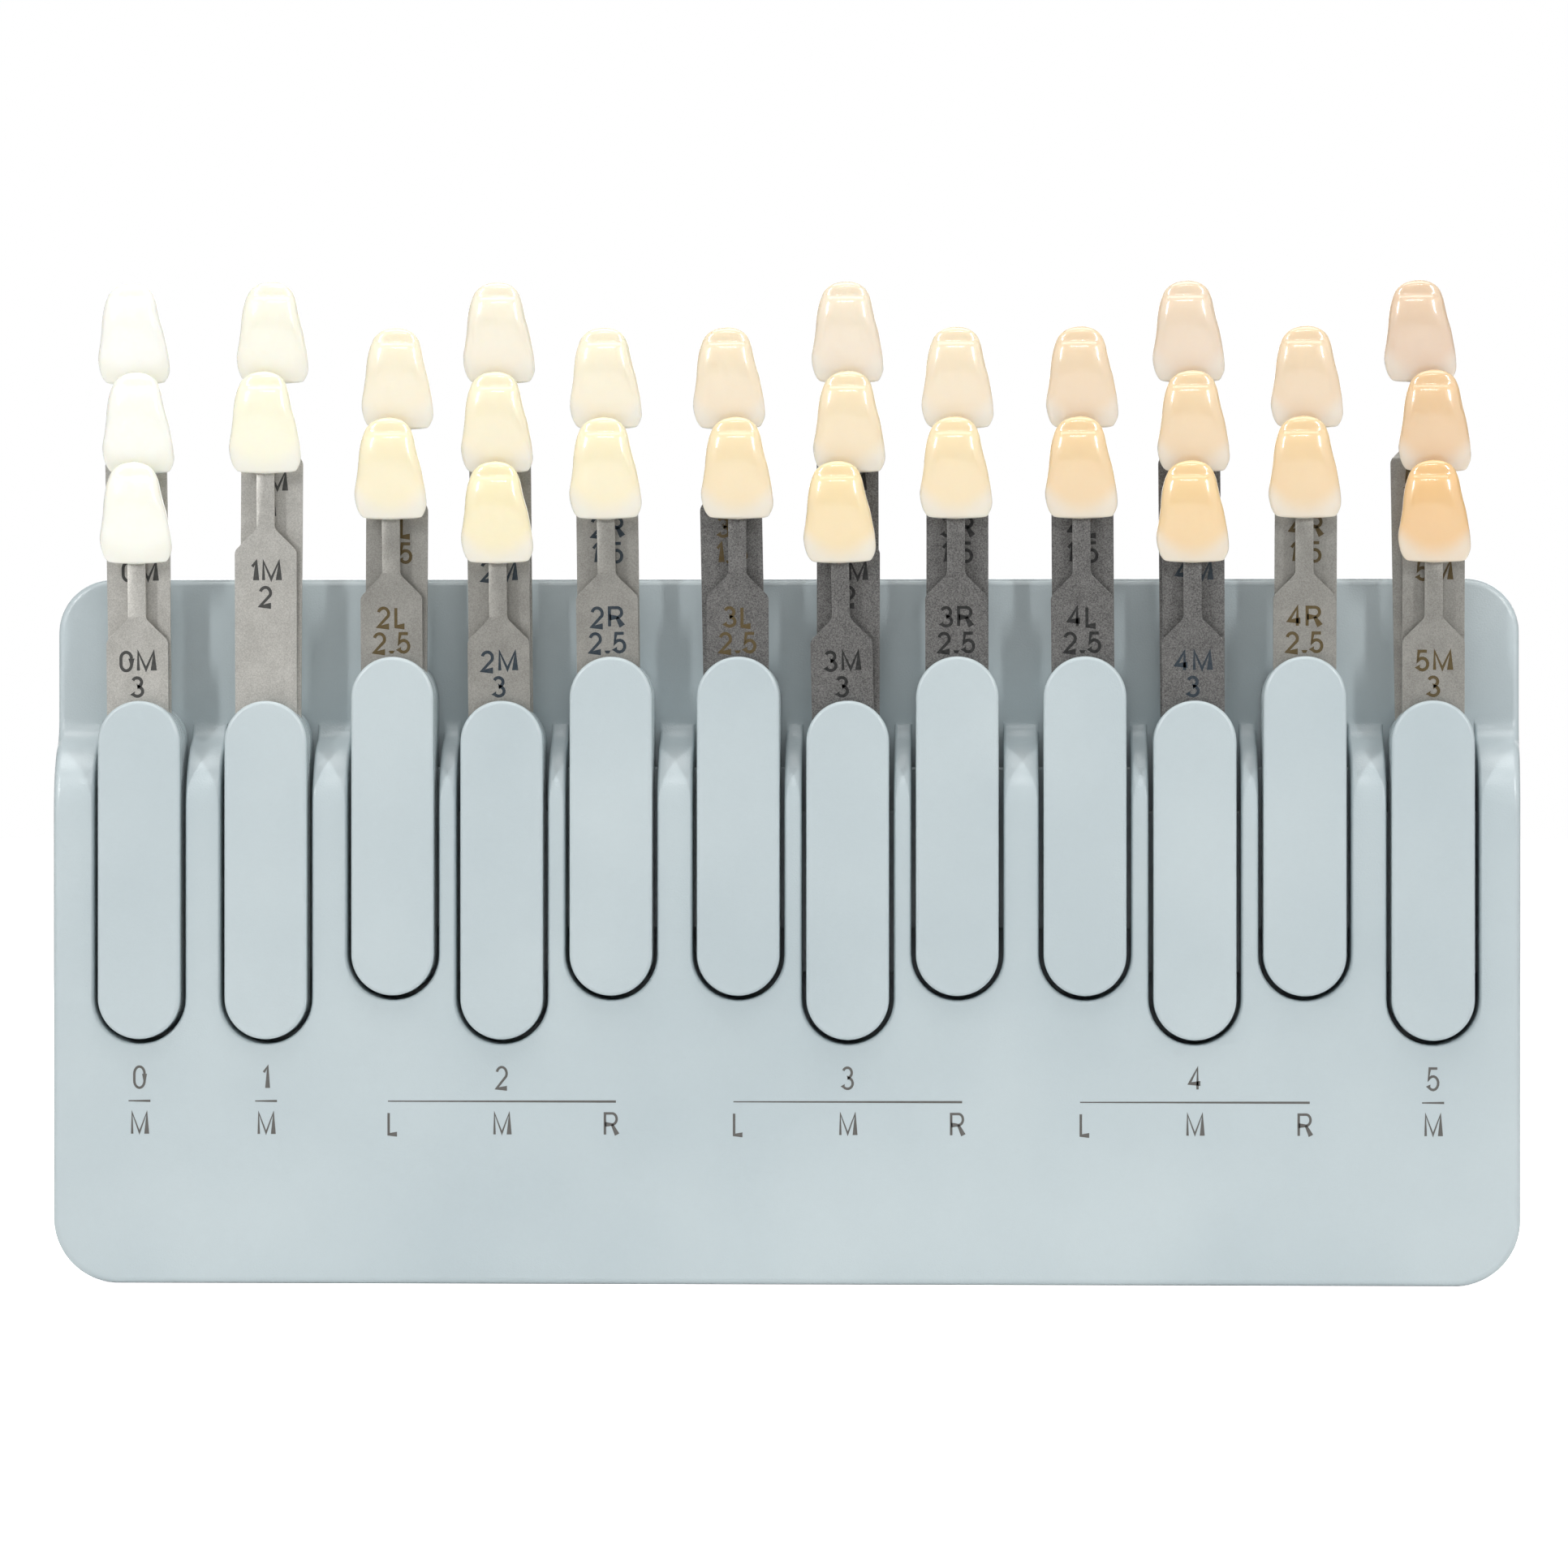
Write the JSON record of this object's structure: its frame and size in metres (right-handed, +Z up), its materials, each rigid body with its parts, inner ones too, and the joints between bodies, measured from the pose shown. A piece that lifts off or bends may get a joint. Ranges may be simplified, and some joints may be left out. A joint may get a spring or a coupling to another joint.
{
  "type": "dental shade guide",
  "caption": "Upright stand with pull-out slit carriers, each holding steel strips that fan about a pin and end in artificial teeth of graded shade.",
  "frame": {"origin": "middle of the stand's flat foot, midway between the front panel and the back", "axes": "+X to the right along the row of carriers, +Y to the back, +Z up"},
  "size_m": [0.181, 0.0313, 0.123],
  "materials": {
    "moulded_stand": "satin moulded ABS",
    "moulded_carrier": "satin moulded ABS",
    "steel_strip": "blasted stainless sheet",
    "steel_pin": "turned stainless",
    "zinc_screw": "zinc plated",
    "scale_ink": "pad printed ink",
    "etched_code": "laser marked oxide",
    "tooth_value_0": "glossy tooth material",
    "tooth_value_1": "glossy tooth material",
    "tooth_value_2": "glossy tooth material",
    "tooth_value_3": "glossy tooth material",
    "tooth_value_4": "glossy tooth material",
    "tooth_value_5": "glossy tooth material"
  },
  "bodies": {
    "stand": {"front_housing": "moulded_stand", "rear_cover": "moulded_stand", "cover_screws": "zinc_screw"},
    "group_0m": {"carrier_0m": "moulded_carrier", "pin_0m": "steel_pin"},
    "shade_0m_3": {"tab_0m_3": "tooth_value_0"},
    "shade_0m_2": {"tab_0m_2": "tooth_value_0"},
    "shade_0m_1": {"tab_0m_1": "tooth_value_0"},
    "group_1m": {"carrier_1m": "moulded_carrier", "pin_1m": "steel_pin"},
    "shade_1m_2": {"tab_1m_2": "tooth_value_1"},
    "shade_1m_1": {"tab_1m_1": "tooth_value_1"},
    "group_2l": {"carrier_2l": "moulded_carrier", "pin_2l": "steel_pin"},
    "shade_2l_25": {"tab_2l_25": "tooth_value_2"},
    "shade_2l_15": {"tab_2l_15": "tooth_value_2"},
    "group_2m": {"carrier_2m": "moulded_carrier", "pin_2m": "steel_pin"},
    "shade_2m_3": {"tab_2m_3": "tooth_value_2"},
    "shade_2m_2": {"tab_2m_2": "tooth_value_2"},
    "shade_2m_1": {"tab_2m_1": "tooth_value_2"},
    "group_2r": {"carrier_2r": "moulded_carrier", "pin_2r": "steel_pin"},
    "shade_2r_25": {"tab_2r_25": "tooth_value_2"},
    "shade_2r_15": {"tab_2r_15": "tooth_value_2"},
    "group_3l": {"carrier_3l": "moulded_carrier", "pin_3l": "steel_pin"},
    "shade_3l_25": {"tab_3l_25": "tooth_value_3"},
    "shade_3l_15": {"tab_3l_15": "tooth_value_3"},
    "group_3m": {"carrier_3m": "moulded_carrier", "pin_3m": "steel_pin"},
    "shade_3m_3": {"tab_3m_3": "tooth_value_3"},
    "shade_3m_2": {"tab_3m_2": "tooth_value_3"},
    "shade_3m_1": {"tab_3m_1": "tooth_value_3"},
    "group_3r": {"carrier_3r": "moulded_carrier", "pin_3r": "steel_pin"},
    "shade_3r_25": {"tab_3r_25": "tooth_value_3"},
    "shade_3r_15": {"tab_3r_15": "tooth_value_3"},
    "group_4l": {"carrier_4l": "moulded_carrier", "pin_4l": "steel_pin"},
    "shade_4l_25": {"tab_4l_25": "tooth_value_4"},
    "shade_4l_15": {"tab_4l_15": "tooth_value_4"},
    "group_4m": {"carrier_4m": "moulded_carrier", "pin_4m": "steel_pin"},
    "shade_4m_3": {"tab_4m_3": "tooth_value_4"},
    "shade_4m_2": {"tab_4m_2": "tooth_value_4"},
    "shade_4m_1": {"tab_4m_1": "tooth_value_4"},
    "group_4r": {"carrier_4r": "moulded_carrier", "pin_4r": "steel_pin"},
    "shade_4r_25": {"tab_4r_25": "tooth_value_4"},
    "shade_4r_15": {"tab_4r_15": "tooth_value_4"},
    "group_5m": {"carrier_5m": "moulded_carrier", "pin_5m": "steel_pin"},
    "shade_5m_3": {"tab_5m_3": "tooth_value_5"},
    "shade_5m_2": {"tab_5m_2": "tooth_value_5"},
    "shade_5m_1": {"tab_5m_1": "tooth_value_5"}
  },
  "joints": [
    {"name": "lift_0m", "type": "slide", "parent": "stand", "child": "group_0m", "axis": [0, 0, 1], "range_m": [0, 0.0388]},
    {"name": "fan_0m_3", "type": "hinge", "parent": "group_0m", "child": "shade_0m_3", "pos_m": [-0.0792, -0.0137, 0.0375], "axis": [0, 1, 0], "range_deg": [-1.9, 3.1]},
    {"name": "fan_0m_2", "type": "hinge", "parent": "group_0m", "child": "shade_0m_2", "pos_m": [-0.0792, -0.0122, 0.0375], "axis": [0, 1, 0], "range_deg": [-2.1, 2.9]},
    {"name": "fan_0m_1", "type": "hinge", "parent": "group_0m", "child": "shade_0m_1", "pos_m": [-0.0792, -0.0107, 0.0375], "axis": [0, 1, 0], "range_deg": [-1.6, 3.4]},
    {"name": "lift_1m", "type": "slide", "parent": "stand", "child": "group_1m", "axis": [0, 0, 1], "range_m": [0, 0.0388]},
    {"name": "fan_1m_2", "type": "hinge", "parent": "group_1m", "child": "shade_1m_2", "pos_m": [-0.0636, -0.0137, 0.0375], "axis": [0, 1, 0], "range_deg": [-2.3, 2.7]},
    {"name": "fan_1m_1", "type": "hinge", "parent": "group_1m", "child": "shade_1m_1", "pos_m": [-0.0636, -0.0122, 0.0375], "axis": [0, 1, 0], "range_deg": [-2.9, 2.1]},
    {"name": "lift_2l", "type": "slide", "parent": "stand", "child": "group_2l", "axis": [0, 0, 1], "range_m": [0, 0.0334]},
    {"name": "fan_2l_25", "type": "hinge", "parent": "group_2l", "child": "shade_2l_25", "pos_m": [-0.048, -0.0137, 0.0429], "axis": [0, 1, 0], "range_deg": [-2.1, 2.9]},
    {"name": "fan_2l_15", "type": "hinge", "parent": "group_2l", "child": "shade_2l_15", "pos_m": [-0.048, -0.0122, 0.0429], "axis": [0, 1, 0], "range_deg": [-2.8, 2.2]},
    {"name": "lift_2m", "type": "slide", "parent": "stand", "child": "group_2m", "axis": [0, 0, 1], "range_m": [0, 0.0388]},
    {"name": "fan_2m_3", "type": "hinge", "parent": "group_2m", "child": "shade_2m_3", "pos_m": [-0.0346, -0.0137, 0.0375], "axis": [0, 1, 0], "range_deg": [-1.8, 3.2]},
    {"name": "fan_2m_2", "type": "hinge", "parent": "group_2m", "child": "shade_2m_2", "pos_m": [-0.0346, -0.0122, 0.0375], "axis": [0, 1, 0], "range_deg": [-1.8, 3.2]},
    {"name": "fan_2m_1", "type": "hinge", "parent": "group_2m", "child": "shade_2m_1", "pos_m": [-0.0346, -0.0107, 0.0375], "axis": [0, 1, 0], "range_deg": [-2, 3]},
    {"name": "lift_2r", "type": "slide", "parent": "stand", "child": "group_2r", "axis": [0, 0, 1], "range_m": [0, 0.0334]},
    {"name": "fan_2r_25", "type": "hinge", "parent": "group_2r", "child": "shade_2r_25", "pos_m": [-0.0212, -0.0137, 0.0429], "axis": [0, 1, 0], "range_deg": [-1.7, 3.3]},
    {"name": "fan_2r_15", "type": "hinge", "parent": "group_2r", "child": "shade_2r_15", "pos_m": [-0.0212, -0.0122, 0.0429], "axis": [0, 1, 0], "range_deg": [-1.8, 3.2]},
    {"name": "lift_3l", "type": "slide", "parent": "stand", "child": "group_3l", "axis": [0, 0, 1], "range_m": [0, 0.0334]},
    {"name": "fan_3l_25", "type": "hinge", "parent": "group_3l", "child": "shade_3l_25", "pos_m": [-0.0056, -0.0137, 0.0429], "axis": [0, 1, 0], "range_deg": [-2.3, 2.7]},
    {"name": "fan_3l_15", "type": "hinge", "parent": "group_3l", "child": "shade_3l_15", "pos_m": [-0.0056, -0.0122, 0.0429], "axis": [0, 1, 0], "range_deg": [-1.4, 3.6]},
    {"name": "lift_3m", "type": "slide", "parent": "stand", "child": "group_3m", "axis": [0, 0, 1], "range_m": [0, 0.0388]},
    {"name": "fan_3m_3", "type": "hinge", "parent": "group_3m", "child": "shade_3m_3", "pos_m": [0.0078, -0.0137, 0.0375], "axis": [0, 1, 0], "range_deg": [-1.4, 3.6]},
    {"name": "fan_3m_2", "type": "hinge", "parent": "group_3m", "child": "shade_3m_2", "pos_m": [0.0078, -0.0122, 0.0375], "axis": [0, 1, 0], "range_deg": [-2.6, 2.4]},
    {"name": "fan_3m_1", "type": "hinge", "parent": "group_3m", "child": "shade_3m_1", "pos_m": [0.0078, -0.0107, 0.0375], "axis": [0, 1, 0], "range_deg": [-2.4, 2.6]},
    {"name": "lift_3r", "type": "slide", "parent": "stand", "child": "group_3r", "axis": [0, 0, 1], "range_m": [0, 0.0334]},
    {"name": "fan_3r_25", "type": "hinge", "parent": "group_3r", "child": "shade_3r_25", "pos_m": [0.0212, -0.0137, 0.0429], "axis": [0, 1, 0], "range_deg": [-2.3, 2.7]},
    {"name": "fan_3r_15", "type": "hinge", "parent": "group_3r", "child": "shade_3r_15", "pos_m": [0.0212, -0.0122, 0.0429], "axis": [0, 1, 0], "range_deg": [-2.5, 2.5]},
    {"name": "lift_4l", "type": "slide", "parent": "stand", "child": "group_4l", "axis": [0, 0, 1], "range_m": [0, 0.0334]},
    {"name": "fan_4l_25", "type": "hinge", "parent": "group_4l", "child": "shade_4l_25", "pos_m": [0.0368, -0.0137, 0.0429], "axis": [0, 1, 0], "range_deg": [-2, 3]},
    {"name": "fan_4l_15", "type": "hinge", "parent": "group_4l", "child": "shade_4l_15", "pos_m": [0.0368, -0.0122, 0.0429], "axis": [0, 1, 0], "range_deg": [-2.2, 2.8]},
    {"name": "lift_4m", "type": "slide", "parent": "stand", "child": "group_4m", "axis": [0, 0, 1], "range_m": [0, 0.0388]},
    {"name": "fan_4m_3", "type": "hinge", "parent": "group_4m", "child": "shade_4m_3", "pos_m": [0.0502, -0.0137, 0.0375], "axis": [0, 1, 0], "range_deg": [-2.2, 2.8]},
    {"name": "fan_4m_2", "type": "hinge", "parent": "group_4m", "child": "shade_4m_2", "pos_m": [0.0502, -0.0122, 0.0375], "axis": [0, 1, 0], "range_deg": [-2.4, 2.6]},
    {"name": "fan_4m_1", "type": "hinge", "parent": "group_4m", "child": "shade_4m_1", "pos_m": [0.0502, -0.0107, 0.0375], "axis": [0, 1, 0], "range_deg": [-2, 3]},
    {"name": "lift_4r", "type": "slide", "parent": "stand", "child": "group_4r", "axis": [0, 0, 1], "range_m": [0, 0.0334]},
    {"name": "fan_4r_25", "type": "hinge", "parent": "group_4r", "child": "shade_4r_25", "pos_m": [0.0636, -0.0137, 0.0429], "axis": [0, 1, 0], "range_deg": [-2.5, 2.5]},
    {"name": "fan_4r_15", "type": "hinge", "parent": "group_4r", "child": "shade_4r_15", "pos_m": [0.0636, -0.0122, 0.0429], "axis": [0, 1, 0], "range_deg": [-2.8, 2.2]},
    {"name": "lift_5m", "type": "slide", "parent": "stand", "child": "group_5m", "axis": [0, 0, 1], "range_m": [0, 0.0388]},
    {"name": "fan_5m_3", "type": "hinge", "parent": "group_5m", "child": "shade_5m_3", "pos_m": [0.0792, -0.0137, 0.0375], "axis": [0, 1, 0], "range_deg": [-2.7, 2.3]},
    {"name": "fan_5m_2", "type": "hinge", "parent": "group_5m", "child": "shade_5m_2", "pos_m": [0.0792, -0.0122, 0.0375], "axis": [0, 1, 0], "range_deg": [-2.8, 2.2]},
    {"name": "fan_5m_1", "type": "hinge", "parent": "group_5m", "child": "shade_5m_1", "pos_m": [0.0792, -0.0107, 0.0375], "axis": [0, 1, 0], "range_deg": [-1.5, 3.5]}
  ]
}
